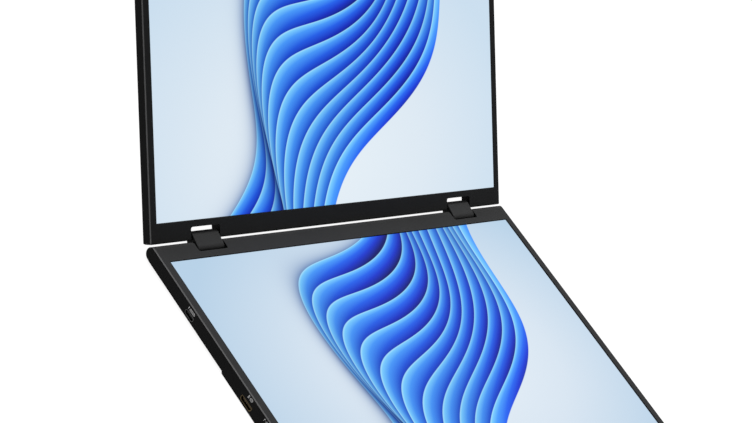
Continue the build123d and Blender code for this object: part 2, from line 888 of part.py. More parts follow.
def upper_rear_cover(outline):
    cover = outline & block(-panel_width, panel_width, -panel_width, panel_width, -panel_width, cover_top)
    near = side_wall - upper_edge_overhang
    cavity = block(
        -cavity_half_width, cavity_half_width, near, upper_length - side_wall, floor_upper, 1
    )
    for centre_x in (-hinge_centre_x, hinge_centre_x):
        reach = bracket_outer + knuckle_pocket_gap
        pocket = upper_knuckle_radius + knuckle_pocket_gap
        pocket = rod(pocket, centre_x - reach, centre_x + reach, upper_axis_height, -upper_axis_depth)
        cavity = cavity + pocket
        cavity = cavity - notch(centre_x, 1, upper_notch_depth, notch_wall)
    cover = cover - cavity
    for centre_x in (-hinge_centre_x, hinge_centre_x):
        cover = cover - notch(centre_x, 1, upper_notch_depth, 0)
        reach = notch_width / 2 + notch_wall + 1
        hole = upper_pin_radius + pin_hole_clearance
        cover = cover - rod(hole, centre_x - reach, centre_x + reach, upper_axis_height, -upper_axis_depth)
    cover = case_screw_fixings(cover, 1, -upper_thickness, floor_upper)
    bore = small_screw_shank_radius + case_screw_bore_gap
    for x, y in bracket_screw_places(1, upper_screw_line):
        cover = cover + post(board_post_radius, x, y, floor_upper, upper_plate_bottom - stack_gap)
        tip = upper_plate_bottom - bracket_screw_bite - stack_gap
        cover = cover - post(bore, x, y, tip, upper_plate_bottom)
    return cover


def bracket_screws(side, screw_line, seat, tip):
    screws = [small_screw(x, y, seat, tip) for x, y in bracket_screw_places(side, screw_line)]
    return Compound(children=screws)


# Display modules

def module_block(side, hinge_bezel, bottom, top):
    near = side * (hinge_bezel - module_hinge_margin)
    far = side * (hinge_bezel + screen_height + module_far_margin)
    return block(-module_width / 2, module_width / 2, min(near, far), max(near, far), bottom, top)


def lcd_cell(side, hinge_bezel):
    return module_block(side, hinge_bezel, backlight_top, cell_top)


def backlight_unit(side, hinge_bezel):
    return module_block(side, hinge_bezel, backlight_bottom, backlight_top)


driver_top = backlight_bottom - stack_gap
driver_bottom = driver_top - driver_board_thickness


def driver_board(side, hinge_bezel):
    far = hinge_bezel + screen_height + module_far_margin - driver_board_set_back
    near = far - driver_board_depth
    low = min(side * near, side * far)
    high = max(side * near, side * far)
    return block(-driver_board_width / 2, driver_board_width / 2, low, high, driver_bottom, driver_top)


def lower_display_cable():
    top = driver_bottom
    start = -(lower_hinge_bezel + screen_height + module_far_margin - cable_set_back)
    ramp_end = -board_front - cable_ramp_end
    knee = ramp_end - cable_knee
    landing = -board_front + cable_overlap
    low = board_top + cable_thickness
    upper_line = [(landing, low), (ramp_end, low), (knee, top), (start, top)]
    lower_line = [(y, z - cable_thickness) for y, z in reversed(upper_line)]
    profile = Polygon(*upper_line, *lower_line, align=None)
    return across(profile, cable_x - cable_width / 2, cable_x + cable_width / 2)


def upper_display_cable():
    start = upper_hinge_bezel
    far = upper_hinge_bezel + screen_height + module_far_margin - cable_set_back
    knee = far - driver_board_depth
    top = driver_top
    low = driver_bottom
    half = cable_width / 2
    run = block(cable_x - half, cable_x + half, start, knee, top - cable_thickness, top)
    tail = block(cable_x - half, cable_x + half, knee - 1, far, low - cable_thickness, low)
    drop = block(cable_x - half, cable_x + half, knee - 1, knee, low - cable_thickness, top)
    return run + tail + drop


# Places in the assembly

back_reach = (upper_length - upper_back_round) * cos(radians(lean)) + upper_back_drop * sin(radians(lean))
rear_extreme = upper_origin_y + back_reach + upper_back_round
to_table = Pos(0, (lower_length - rear_extreme) / 2, table_depth)
link_place = Location((0, lower_axis_y, lower_axis_z), (link_rise, 0, 0))
upper_place = Location((0, upper_origin_y, upper_origin_z), (lean, 0, 0))


def save(name, shape, place=None):
    moved = to_table * shape if place is None else to_table * (place * shape)
    export_step(moved, os.path.join("parts", name + ".step"))


def build():
    os.makedirs("parts", exist_ok=True)
    lower = lower_outline()
    upper = upper_outline()
    save("lower_rear_cover", lower_rear_cover(lower))
    save("lower_front_bezel", front_bezel(lower, -1, lower_hinge_bezel, lower_notch_depth))
    save("lower_lcd_cell", lcd_cell(-1, lower_hinge_bezel))
    save("lower_backlight_unit", backlight_unit(-1, lower_hinge_bezel))
    save("lower_driver_board", driver_board(-1, lower_hinge_bezel))
    save("lower_display_cable", lower_display_cable())
    save("lower_case_screws", case_screws(-1, -lower_thickness))
    save("upper_rear_cover", upper_rear_cover(upper), upper_place)
    save("upper_front_bezel", front_bezel(upper, 1, upper_hinge_bezel, upper_notch_depth), upper_place)
    save("upper_lcd_cell", lcd_cell(1, upper_hinge_bezel), upper_place)
    save("upper_backlight_unit", backlight_unit(1, upper_hinge_bezel), upper_place)
    save("upper_driver_board", driver_board(1, upper_hinge_bezel), upper_place)
    save("upper_display_cable", upper_display_cable(), upper_place)
    save("upper_case_screws", case_screws(1, -upper_thickness), upper_place)
    for name, centre_x in (("left", -hinge_centre_x), ("right", hinge_centre_x)):
        save("hinge_link_" + name, hinge_link(centre_x))
        save("lower_hinge_pin_" + name, hinge_pin(centre_x, lower_pin_radius, 0))
        save("upper_hinge_pin_" + name, hinge_pin(centre_x, upper_pin_radius, axis_distance))
        bracket = hinge_bracket(
            centre_x, -1, lower_axis_set_back, lower_axis_z, lower_knuckle_radius, lower_pin_radius,
            lower_plate_bottom, lower_plate_top, lower_notch_depth, lower_screw_line,
        )
        save("lower_hinge_bracket_" + name, bracket)
        bracket = hinge_bracket(
            centre_x, 1, upper_axis_height, -upper_axis_depth, upper_knuckle_radius, upper_pin_radius,
            upper_plate_bottom, upper_plate_top, upper_notch_depth, upper_screw_line,
        )
        save("upper_hinge_bracket_" + name, bracket, upper_place)
    tip = lower_plate_bottom - bracket_screw_bite
    save("lower_bracket_screws", bracket_screws(-1, lower_screw_line, lower_plate_top, tip))
    tip = upper_plate_bottom - bracket_screw_bite
    save("upper_bracket_screws", bracket_screws(1, upper_screw_line, upper_plate_top, tip), upper_place)
    save("main_board", main_board())
    save("board_chips", board_chips())
    save("board_shield", board_shield())
    save("board_screws", board_screws())
    usb_c_ports = (("usb_c_port_rear", usb_c_rear_place, usb_c_rear_depth),
                   ("usb_c_port_front", usb_c_front_place, usb_c_front_depth))
    inserts = []
    for name, place, depth in usb_c_ports:
        save(name, port_shell(usb_c_outline, usb_c_shell_wall, place, depth, usb_c_length))
        inserts.append(port_insert(
            usb_c_outline, usb_c_shell_wall, place, depth, usb_c_length,
            usb_c_tongue_width, usb_c_tongue_thickness, usb_c_tongue_length,
        ))
    shell = port_shell(
        mini_hdmi_outline, mini_hdmi_shell_wall, mini_hdmi_place, mini_hdmi_depth, mini_hdmi_length
    )
    save("mini_hdmi_port", shell)
    inserts.append(port_insert(
        mini_hdmi_outline, mini_hdmi_shell_wall, mini_hdmi_place, mini_hdmi_depth, mini_hdmi_length,
        mini_hdmi_tongue_width, mini_hdmi_tongue_thickness, mini_hdmi_tongue_length,
    ))
    save("port_inserts", Compound(children=inserts))
    save("power_button", power_button())
    save("menu_rocker", menu_rocker())
    save("button_board", button_board())
    save("button_switches", button_switches())
    save("speaker_left", speaker(-1))
    save("speaker_right", speaker(1))
    save("rear_feet", feet(
        rear_foot_start, rear_foot_length, -rear_foot_inset, rear_foot_width, -lower_thickness
    ))
    front_foot_rear = front_foot_inset + front_foot_width - lower_length
    save("front_feet", feet(
        front_foot_start, front_foot_length, front_foot_rear, front_foot_width, -full_thickness
    ))
    save("kickstand_plate", kickstand_plate())
    save("kickstand_pins", kickstand_pins())
    save("kickstand_strip", kickstand_strip())


build()
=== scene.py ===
import math

import bmesh
import bpy
from mathutils import Euler, Matrix, Vector


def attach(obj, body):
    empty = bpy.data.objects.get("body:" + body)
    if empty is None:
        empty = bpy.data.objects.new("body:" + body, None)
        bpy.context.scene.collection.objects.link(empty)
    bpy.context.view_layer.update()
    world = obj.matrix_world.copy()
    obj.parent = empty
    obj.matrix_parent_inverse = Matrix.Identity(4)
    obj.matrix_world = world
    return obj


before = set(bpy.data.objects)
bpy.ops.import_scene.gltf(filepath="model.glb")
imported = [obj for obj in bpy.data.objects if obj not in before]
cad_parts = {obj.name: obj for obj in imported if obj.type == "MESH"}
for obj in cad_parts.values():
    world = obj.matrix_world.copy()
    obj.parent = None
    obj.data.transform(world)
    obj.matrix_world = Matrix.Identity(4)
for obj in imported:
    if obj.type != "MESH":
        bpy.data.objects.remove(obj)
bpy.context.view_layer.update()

# The studio: a pure white sweep, one broad lamp high behind the monitors and a pale sky.
# The camera stands off the left front corner of the lower panel with a long lens.
camera_place = (-1.18479, -0.58080, 0.84546)
camera_right = (0.6410737, -0.5412799, 0.5440961)
camera_up = (0.0728862, 0.7486729, 0.6589207)
camera_forward = (0.7640105, 0.3827596, -0.5194064)
camera_lens_mm = 112.155
sensor_width_mm = 36.0
camera_shift = (0.0004, -0.0020)
nearest_seen, farthest_seen = 0.01, 50.0
lamp_direction = (-0.06, 0.70, 0.71)
lamp_strength = 2.9
lamp_spread_deg = 14.0
sky_strength = 0.10
floor_half_size = 6.0
floor_drop = 0.00005
floor_glow = 0.93
floor_colour = (0.2, 0.2, 0.2, 1.0)
white = (1.0, 1.0, 1.0, 1.0)


def add_node(tree, kind, sockets=None, **settings):
    made = tree.nodes.new(kind)
    for name, value in settings.items():
        setattr(made, name, value)
    for name, value in (sockets or {}).items():
        if isinstance(value, bpy.types.NodeSocket):
            tree.links.new(value, made.inputs[name])
        else:
            made.inputs[name].default_value = value
    return made


def calc(tree, operation, *values, clamp=False):
    sockets = dict(enumerate(values))
    return add_node(tree, "ShaderNodeMath", sockets, operation=operation, use_clamp=clamp).outputs[0]


def seen_directly(tree):
    path = add_node(tree, "ShaderNodeLightPath")
    mirrored = calc(tree, "MAXIMUM", path.outputs["Is Glossy Ray"], path.outputs["Is Transmission Ray"])
    return calc(tree, "MAXIMUM", path.outputs["Is Camera Ray"], mirrored)


scene = bpy.context.scene
scene.view_settings.view_transform = "Standard"

camera_data = bpy.data.cameras.new("camera")
camera_data.lens = camera_lens_mm
camera_data.sensor_width = sensor_width_mm
camera_data.shift_x, camera_data.shift_y = camera_shift
camera_data.clip_start, camera_data.clip_end = nearest_seen, farthest_seen
camera = bpy.data.objects.new("camera", camera_data)
turn = Matrix((camera_right, camera_up, -Vector(camera_forward))).transposed()
camera.matrix_world = Matrix.Translation(camera_place) @ turn.to_4x4()
scene.collection.objects.link(camera)
scene.camera = camera

lamp_data = bpy.data.lights.new("broad_lamp", "SUN")
lamp_data.energy = lamp_strength
lamp_data.angle = math.radians(lamp_spread_deg)
lamp = bpy.data.objects.new("broad_lamp", lamp_data)
lamp.rotation_euler = Vector(lamp_direction).to_track_quat("Z", "Y").to_euler()
scene.collection.objects.link(lamp)

world = bpy.data.worlds.new("white_sweep")
world.use_nodes = True
world.node_tree.nodes.clear()
sky = add_node(world.node_tree, "ShaderNodeBackground", {"Color": white, "Strength": sky_strength})
backdrop = add_node(world.node_tree, "ShaderNodeBackground", {"Color": white, "Strength": 1.0})
sweep = add_node(world.node_tree, "ShaderNodeMixShader", {
    0: seen_directly(world.node_tree), 1: sky.outputs[0], 2: backdrop.outputs[0],
})
add_node(world.node_tree, "ShaderNodeOutputWorld", {"Surface": sweep.outputs[0]})
scene.world = world

floor_paint = bpy.data.materials.new("floor_paint")
floor_paint.use_nodes = True
paint_tree = floor_paint.node_tree
paint_tree.nodes.clear()
matt = add_node(paint_tree, "ShaderNodeBsdfDiffuse", {"Color": floor_colour})
glow = add_node(paint_tree, "ShaderNodeEmission", {
    "Color": white, "Strength": calc(paint_tree, "MULTIPLY", seen_directly(paint_tree), floor_glow),
})
both = add_node(paint_tree, "ShaderNodeAddShader", {0: matt.outputs[0], 1: glow.outputs[0]})
add_node(paint_tree, "ShaderNodeOutputMaterial", {"Surface": both.outputs[0]})
floor_mesh = bpy.data.meshes.new("floor")
floor_corners = [
    (x * floor_half_size, y * floor_half_size, -floor_drop) for x, y in ((-1, -1), (1, -1), (1, 1), (-1, 1))
]
floor_mesh.from_pydata(floor_corners, [], [(0, 1, 2, 3)])
floor_mesh.materials.append(floor_paint)
floor = bpy.data.objects.new("floor", floor_mesh)
scene.collection.objects.link(floor)

# The two shells of each panel: a thin black anodised aluminium tray with a half-round hinge
# edge, bead blasted before dyeing, and a moulded charcoal bezel that clips and screws into it.
shell_black = (0.0090, 0.0090, 0.0092)
shell_dust = (0.0140, 0.0140, 0.0143)
# Painted shade, laid on upright walls by their slope
painted_shade_black = (0.0040, 0.0040, 0.0040)
bezel_dark = (0.0380, 0.0380, 0.0384)
bezel_pale = (0.0445, 0.0445, 0.0450)
# Painted highlights on the side bevels, brighter on the upper panel, which takes less of the lamp's light
lower_highlight_grey = (0.175, 0.175, 0.177)
upper_highlight_grey = (0.360, 0.360, 0.363)
highlight_from_middle = 0.1755
highlight_slopes = (0.30, 0.47)
shade_slopes = (0.25, 0.55)
shell_roughness = 0.55
bezel_roughness = 0.6
matt_gloss = 0.05
panel_lean_deg = 42.7
# Every finish: the share of the grain in its tone, the middle range of the noise, and the spread of
# its roughness
grain_share = 0.4
noise_range = (0.3, 0.7)
roughness_spread = 0.06
relief_strength = 0.6


def spread(tree, value, given, wanted, interpolation="SMOOTHSTEP"):
    """Maps a value from one range to another and holds it inside."""
    return add_node(tree, "ShaderNodeMapRange", {
        "Value": value, "From Min": given[0], "From Max": given[1], "To Min": wanted[0], "To Max": wanted[1],
    }, interpolation_type=interpolation).outputs[0]


def blend(tree, share, first, second, kind="MIX"):
    """The mix of two colours, all second where the share is one."""
    return add_node(tree, "ShaderNodeMix", {
        "Factor": share, 6: first, 7: second,
    }, data_type="RGBA", blend_type=kind).outputs[2]


def finish(
    name, dark, pale, rough, gloss=0.3, metal=0.0,
    grain=0.00025, relief=0.00002, patch=0.018, stretch=(1, 1, 1),
):
    """A material with grain at its true size, slow patches of tone, and roughness and bump from the grain."""
    material = bpy.data.materials.new(name)
    material.use_nodes = True
    tree = material.node_tree
    shader = tree.nodes["Principled BSDF"]
    place = add_node(tree, "ShaderNodeTexCoord").outputs["Object"]
    place = add_node(tree, "ShaderNodeMapping", {"Vector": place, "Scale": stretch}).outputs[0]
    fine = add_node(tree, "ShaderNodeTexNoise", {
        "Vector": place, "Scale": 1 / grain, "Detail": 2.0, "Roughness": 0.6,
    }).outputs["Fac"]
    broad = add_node(tree, "ShaderNodeTexNoise", {
        "Vector": place, "Scale": 1 / patch, "Detail": 3.0, "Roughness": 0.5,
    }).outputs["Fac"]
    tone = calc(tree, "MULTIPLY_ADD", fine, grain_share, calc(tree, "MULTIPLY", broad, 1 - grain_share))
    tone = spread(tree, tone, noise_range, (0.0, 1.0), "LINEAR")
    tree.links.new(blend(tree, tone, (*dark, 1), (*pale, 1)), shader.inputs["Base Color"])
    rough_range = (rough - roughness_spread, rough + roughness_spread)
    tree.links.new(spread(tree, fine, noise_range, rough_range, "LINEAR"), shader.inputs["Roughness"])
    bump = add_node(tree, "ShaderNodeBump", {"Height": fine, "Distance": relief, "Strength": relief_strength})
    tree.links.new(bump.outputs[0], shader.inputs["Normal"])
    shader.inputs["Specular IOR Level"].default_value = gloss
    shader.inputs["Metallic"].default_value = metal
    return material


def slope_on_panel(tree, lean_deg):
    """The way a face points, seen from a panel that lies flat."""
    slope = add_node(tree, "ShaderNodeTexCoord").outputs["Normal"]
    flat = add_node(tree, "ShaderNodeMapping", {
        "Vector": slope, "Rotation": (math.radians(-lean_deg), 0, 0),
    }, vector_type="POINT").outputs[0]
    return add_node(tree, "ShaderNodeSeparateXYZ", {"Vector": flat}).outputs


def paint_over(material, share, colour):
    tree = material.node_tree
    base = tree.nodes["Principled BSDF"].inputs["Base Color"]
    tree.links.new(blend(tree, share, base.links[0].from_socket, (*colour, 1)), base)
    return material


def painted_edge_highlight(material, lean_deg, colour):
    """Paints a highlight on the bevels along the sides: by their slope, and only at the edge."""
    tree = material.node_tree
    slope = slope_on_panel(tree, lean_deg)
    both_ways = calc(tree, "ABSOLUTE", calc(tree, "MULTIPLY", slope["X"], slope["Z"]))
    share = spread(tree, both_ways, highlight_slopes, (0.0, 1.0))
    place = add_node(tree, "ShaderNodeTexCoord").outputs["Object"]
    across = add_node(tree, "ShaderNodeSeparateXYZ", {"Vector": place}).outputs["X"]
    outside = calc(tree, "GREATER_THAN", calc(tree, "ABSOLUTE", across), highlight_from_middle)
    return paint_over(material, calc(tree, "MULTIPLY", share, outside), colour)


def paint_wall_shade(material, lean_deg, slopes):
    """Paints shade on the upright faces, such as the step down to the display, by their slope on the panel.
    """
    tree = material.node_tree
    lift = calc(tree, "ABSOLUTE", slope_on_panel(tree, lean_deg)["Z"])
    return paint_over(material, spread(tree, lift, slopes, (1.0, 0.0)), painted_shade_black)


def dress(material, *nodes):
    for node in nodes:
        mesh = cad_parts[node].data
        mesh.materials.clear()
        mesh.materials.append(material)


# Both shells and bezels carry a painted highlight on their side bevels; the bezels also carry painted shade
# on their upright walls.
for panel, lean_deg, painted_rim_grey in (
    ("lower", 0.0, lower_highlight_grey),
    ("upper", panel_lean_deg, upper_highlight_grey),
):
    shell = finish(panel + "_shell_anodised", shell_black, shell_dust, shell_roughness, matt_gloss)
    dress(painted_edge_highlight(shell, lean_deg, painted_rim_grey), panel + "_rear_cover")
    bezel = finish(panel + "_bezel_moulded", bezel_dark, bezel_pale, bezel_roughness, matt_gloss)
    dress(paint_wall_shade(painted_edge_highlight(bezel, lean_deg, painted_rim_grey), lean_deg, shade_slopes), panel + "_front_bezel")

# The lit displays: glass cells under an anti-glare film that carries the picture. The film
# is laid on the cell and runs under the bezel's edge. The picture is a plain band of folds.
lit_width = 0.34416
lit_height = 0.19359
lit_near_lower = 0.0122
lit_near_upper = 0.0120
hinge_edge_lower = (0.0, 0.0249916, 0.0111000)
hinge_edge_upper = (0.0, 0.0274564, 0.0108525)
film_lap = 0.0004
lower_side_border = 0.0009
upper_side_border = 0.0002
end_border = 0.0003
film_bottom = -0.000495
film_top = -0.000465
picture_shape = lit_width / lit_height
band_lean_deg = 56.0
band_centre = (0.95, 0.5)
# The folds, one behind the other: each value goes from the first fold's to the last one's
fold_count = 13
fold_height = (0.36, -0.30)
fold_swing = (0.17, 0.11)
fold_pitch = (4.2, 5.4)
fold_phase = (1.2, 3.1)
ripple_pitch = (7.5, 6.0)
ripple_phase = (1.0, 6.5)
fold_drift = (0.0, 2.5)
ripple_middle, ripple_change, ripple_rate = 0.045, 0.03, 5.0
wobble_pitch = 4.2
wobble_swing = 0.10
light_lead = 0.9
fold_depth = 0.155
fold_depth_swing = 0.076
fold_edge_softness = 0.0015
shadow_reach = 0.028
shadow_strength = 0.75
shadow_tint = (0.0, 0.15, 0.45, 1.0)
fold_tones = (
    (0.00, (0.410, 0.780, 1.000)),
    (0.04, (0.190, 0.600, 1.000)),
    (0.16, (0.065, 0.330, 0.980)),
    (0.38, (0.016, 0.130, 0.880)),
    (0.64, (0.007, 0.042, 0.680)),
    (1.00, (0.003, 0.009, 0.210)),
)
lower_ground_tones = (
    (0.00, (0.790, 0.862, 0.926)),
    (0.50, (0.680, 0.775, 0.872)),
    (1.00, (0.470, 0.632, 0.792)),
)
upper_ground_tones = (
    (0.00, (0.790, 0.868, 0.926)),
    (0.50, (0.720, 0.810, 0.892)),
    (1.00, (0.590, 0.728, 0.856)),
)
lower_ground_centre = (0.95, 0.45)
upper_ground_centre = (0.82, 0.15)
ground_reach = (1.1, 0.8, 1)
unlit = (0.0, 0.0, 0.0, 1.0)
film_tint = (0.004, 0.004, 0.005, 1)
film_grain = 1 / 9000
film_roughness = (0.34, 0.46)


def tone_ramp(tree, value, tones):
    ramp = add_node(tree, "ShaderNodeValToRGB", {"Fac": value})
    stops = ramp.color_ramp.elements
    while len(stops) < len(tones):
        stops.new(1.0)
    for stop, (position, colour) in zip(stops, tones):
        stop.position = position
        stop.color = (*colour, 1)
    return ramp.outputs["Color"]


def fold_group():
    """One fold of the band: its edge is two sine waves, and its face darkens away from the edge."""
    tree = bpy.data.node_groups.new("silk_fold", "ShaderNodeTree")
    sockets = tree.interface
    for name in (
        "Along", "Across", "Height", "Swing", "Pitch", "Phase",
        "Ripple", "Ripple pitch", "Ripple phase", "Drift",
    ):
        sockets.new_socket(name, in_out="INPUT", socket_type="NodeSocketFloat")
    for name in ("Behind", "Ground"):
        sockets.new_socket(name, in_out="INPUT", socket_type="NodeSocketColor")
    sockets.new_socket("Last", in_out="INPUT", socket_type="NodeSocketFloat")
    sockets.new_socket("Picture", in_out="OUTPUT", socket_type="NodeSocketColor")
    given = add_node(tree, "NodeGroupInput").outputs
    wobble = calc(tree, "SINE", calc(tree, "MULTIPLY_ADD", given["Across"], wobble_pitch, given["Drift"]))
    along = calc(tree, "MULTIPLY_ADD", wobble, wobble_swing, given["Along"])
    angle = calc(tree, "MULTIPLY_ADD", along, given["Pitch"], given["Phase"])
    edge = calc(tree, "MULTIPLY_ADD", calc(tree, "SINE", angle), given["Swing"], given["Height"])
    ripple_angle = calc(tree, "MULTIPLY_ADD", along, given["Ripple pitch"], given["Ripple phase"])
    edge = calc(tree, "MULTIPLY_ADD", calc(tree, "SINE", ripple_angle), given["Ripple"], edge)
    inside = calc(tree, "SUBTRACT", edge, given["Across"])
    light = calc(tree, "SINE", calc(tree, "ADD", angle, light_lead))
    depth = calc(tree, "MULTIPLY_ADD", light, fold_depth_swing, fold_depth)
    face = tone_ramp(tree, calc(tree, "DIVIDE", inside, depth, clamp=True), fold_tones)
    face = blend(tree, given["Last"], face, given["Ground"])
    away = calc(tree, "MAXIMUM", calc(tree, "MULTIPLY", inside, -1.0), 0.0)
    fading = calc(tree, "EXPONENT", calc(tree, "DIVIDE", away, -shadow_reach))
    shade = calc(tree, "MULTIPLY", fading, shadow_strength)
    shade = calc(tree, "MULTIPLY", shade, calc(tree, "SUBTRACT", 1.0, given["Last"]))
    darker = blend(tree, 1.0, given["Behind"], shadow_tint, "MULTIPLY")
    behind = blend(tree, shade, given["Behind"], darker)
    cover = spread(tree, inside, (-fold_edge_softness, fold_edge_softness), (0.0, 1.0))
    add_node(tree, "NodeGroupOutput", {"Picture": blend(tree, cover, behind, face)})
    return tree


def part_way(ends, share):
    return ends[0] + (ends[1] - ends[0]) * share


def picture_film(panel, ground_tones, ground_centre, side_border):
    material = bpy.data.materials.new(panel + "_anti_glare_film_lit")
    material.use_nodes = True
    tree = material.node_tree
    shader = tree.nodes["Principled BSDF"]
    spot = add_node(tree, "ShaderNodeUVMap", uv_map="picture").outputs[0]
    wide = add_node(tree, "ShaderNodeMapping", {"Vector": spot, "Scale": (picture_shape, 1, 1)}).outputs[0]
    turned = add_node(tree, "ShaderNodeMapping", {
        "Vector": wide, "Location": (*band_centre, 0), "Rotation": (0, 0, math.radians(band_lean_deg)),
    }, vector_type="TEXTURE").outputs[0]
    axes = add_node(tree, "ShaderNodeSeparateXYZ", {"Vector": turned})
    along, across = axes.outputs["X"], axes.outputs["Y"]
    off_centre = add_node(tree, "ShaderNodeMapping", {
        "Vector": wide, "Location": (*ground_centre, 0), "Scale": ground_reach,
    }, vector_type="TEXTURE").outputs[0]
    reach = add_node(tree, "ShaderNodeVectorMath", {0: off_centre}, operation="LENGTH").outputs["Value"]
    ground = tone_ramp(tree, reach, ground_tones)
    picture = ground
    for step in range(fold_count):
        share = step / (fold_count - 1)
        picture = add_node(tree, "ShaderNodeGroup", {
            "Along": along,
            "Across": across,
            "Height": part_way(fold_height, share),
            "Swing": part_way(fold_swing, share),
            "Pitch": part_way(fold_pitch, share),
            "Phase": part_way(fold_phase, share),
            "Ripple": ripple_middle + ripple_change * math.sin(ripple_rate * share),
            "Ripple pitch": part_way(ripple_pitch, share),
            "Ripple phase": part_way(ripple_phase, share),
            "Drift": part_way(fold_drift, share),
            "Behind": picture,
            "Ground": ground,
            "Last": float(step == fold_count - 1),
        }, node_tree=silk_fold).outputs["Picture"]
    sides = add_node(tree, "ShaderNodeSeparateXYZ", {"Vector": spot})
    lit = []
    for axis, length, border in (("X", lit_width, side_border), ("Y", lit_height, end_border)):
        off_middle = calc(tree, "ABSOLUTE", calc(tree, "SUBTRACT", sides.outputs[axis], 0.5))
        lit.append(calc(tree, "LESS_THAN", off_middle, 0.5 - border / length))
    framed = blend(tree, calc(tree, "MULTIPLY", *lit), unlit, picture)
    tree.links.new(framed, shader.inputs["Emission Color"])
    shader.inputs["Emission Strength"].default_value = 1.0
    shader.inputs["Base Color"].default_value = film_tint
    shader.inputs["Specular IOR Level"].default_value = matt_gloss
    place = add_node(tree, "ShaderNodeTexCoord").outputs["Object"]
    haze = add_node(tree, "ShaderNodeTexNoise", {
        "Vector": place, "Scale": 1 / film_grain, "Detail": 1.0,
    }).outputs["Fac"]
    rough = spread(tree, haze, (0.0, 1.0), film_roughness, "LINEAR")
    tree.links.new(rough, shader.inputs["Roughness"])
    return material


def display_film(name, body, hinge_edge, lean_deg, side, near, material):
    bm = bmesh.new()
    picture = bm.loops.layers.uv.new("picture")
    bmesh.ops.create_cube(bm, size=1.0)
    middle = side * (near + lit_height / 2)
    for vert in bm.verts:
        vert.co.x *= lit_width + 2 * film_lap
        vert.co.y = vert.co.y * (lit_height + 2 * film_lap) + middle
        vert.co.z = film_top if vert.co.z > 0 else film_bottom
    for face in bm.faces:
        for loop in face.loops:
            loop[picture].uv = (
                loop.vert.co.x / lit_width + 0.5,
                (loop.vert.co.y - middle) / lit_height + 0.5,
            )
    place = Matrix.Translation(hinge_edge) @ Euler((math.radians(lean_deg), 0, 0)).to_matrix().to_4x4()
    bm.transform(place)
    mesh = bpy.data.meshes.new(name)
    bm.to_mesh(mesh)
    bm.free()
    mesh.materials.append(material)
    film = bpy.data.objects.new(name, mesh)
    scene.collection.objects.link(film)
    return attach(film, body)


silk_fold = fold_group()
lower_film = picture_film("lower", lower_ground_tones, lower_ground_centre, lower_side_border)
upper_film = picture_film("upper", upper_ground_tones, upper_ground_centre, upper_side_border)
display_film("lower_display_film", "lower_panel", hinge_edge_lower, 0, -1, lit_near_lower, lower_film)
display_film(
    "upper_display_film", "upper_panel", hinge_edge_upper, panel_lean_deg, 1, lit_near_upper, upper_film,
)
dress(
    finish("display_cell_glass", (0.004, 0.004, 0.006), (0.008, 0.008, 0.011), rough=0.25, gloss=0.4),
    "lower_lcd_cell", "upper_lcd_cell",
)
dress(
    finish("backlight_white_sheet", (0.72, 0.72, 0.72), (0.82, 0.82, 0.82), rough=0.5, gloss=0.3),
    "lower_backlight_unit", "upper_backlight_unit",
)

# The hinges: two die-cast links in notches of both panels, each on two steel pins that turn
# in pressed brackets under the displays. The links are painted a shade lighter than the shells,
# and their barrels get painted shade where they dive into the notch.
link_dark = (0.0440, 0.0440, 0.0445)
link_pale = (0.0540, 0.0540, 0.0545)
link_shade_slopes = (0.45, 0.80)
ground_steel = ((0.42, 0.42, 0.43), (0.55, 0.55, 0.56))
link_paint = finish("link_painted_grey", link_dark, link_pale, rough=0.5, gloss=0.08)
# Painted shade on the links' steep faces, where the barrels dive into the notches
dress(paint_wall_shade(link_paint, 0.0, link_shade_slopes), "hinge_link_left", "hinge_link_right")
dress(
    finish("pin_ground_steel", *ground_steel, rough=0.3, gloss=0.5, metal=1.0, stretch=(0.05, 1, 1)),
    "lower_hinge_pin_left", "lower_hinge_pin_right", "upper_hinge_pin_left", "upper_hinge_pin_right",
)
dress(
    finish("bracket_pressed_steel", (0.38, 0.38, 0.39), (0.52, 0.52, 0.53), rough=0.38, gloss=0.5, metal=1.0),
    "lower_hinge_bracket_left", "lower_hinge_bracket_right",
    "upper_hinge_bracket_left", "upper_hinge_bracket_right",
)
dress(
    finish("screw_blackened_steel", (0.010, 0.010, 0.011), (0.022, 0.022, 0.024), rough=0.35, gloss=0.4),
    "lower_case_screws", "upper_case_screws", "lower_bracket_screws", "upper_bracket_screws", "board_screws",
)

# The electronics in the lower panel: a green board with its chips and a tinned shield, a
# small button board, the flat amber display cables and two boxed speakers.
dress(
    finish(
        "board_solder_mask", (0.006, 0.060, 0.028), (0.012, 0.110, 0.050), rough=0.4, gloss=0.4,
        grain=0.0009, relief=0.00001,
    ),
    "main_board", "button_board", "lower_driver_board", "upper_driver_board",
)
dress(
    finish("chip_moulded_epoxy", (0.012, 0.012, 0.012), (0.022, 0.022, 0.022), rough=0.6, gloss=0.3),
    "board_chips", "button_switches",
)
dress(
    finish("shield_tinned_steel", (0.55, 0.55, 0.54), (0.68, 0.68, 0.67), rough=0.3, gloss=0.5, metal=1.0),
    "board_shield",
)
dress(
    finish(
        "cable_amber_polyimide", (0.30, 0.11, 0.012), (0.42, 0.18, 0.025), rough=0.35, gloss=0.5,
        stretch=(4, 0.1, 1),
    ),
    "lower_display_cable", "upper_display_cable",
)
dress(
    finish("speaker_moulded_black", (0.012, 0.012, 0.012), (0.020, 0.020, 0.020), rough=0.5, gloss=0.3),
    "speaker_left", "speaker_right",
)
speaker_wire = finish(
    "speaker_wire_cloth", (0.09, 0.09, 0.09), (0.14, 0.14, 0.14), rough=0.35, gloss=0.5, metal=1.0,
)
grille_place = (0.132, -0.178)
grille_slot = (0.0010, 0.0070)
grille_pitch = 0.0026
grille_count = 11
grille_depth = -0.0096
wire_mesh = 0.00025
wire_radius = 0.00004
cloth_lap = 0.0001


def modifier_input(modifier, tree, name, value):
    for item in tree.interface.items_tree:
        if item.name == name and getattr(item, "in_out", "") == "INPUT":
            modifier[item.identifier] = value


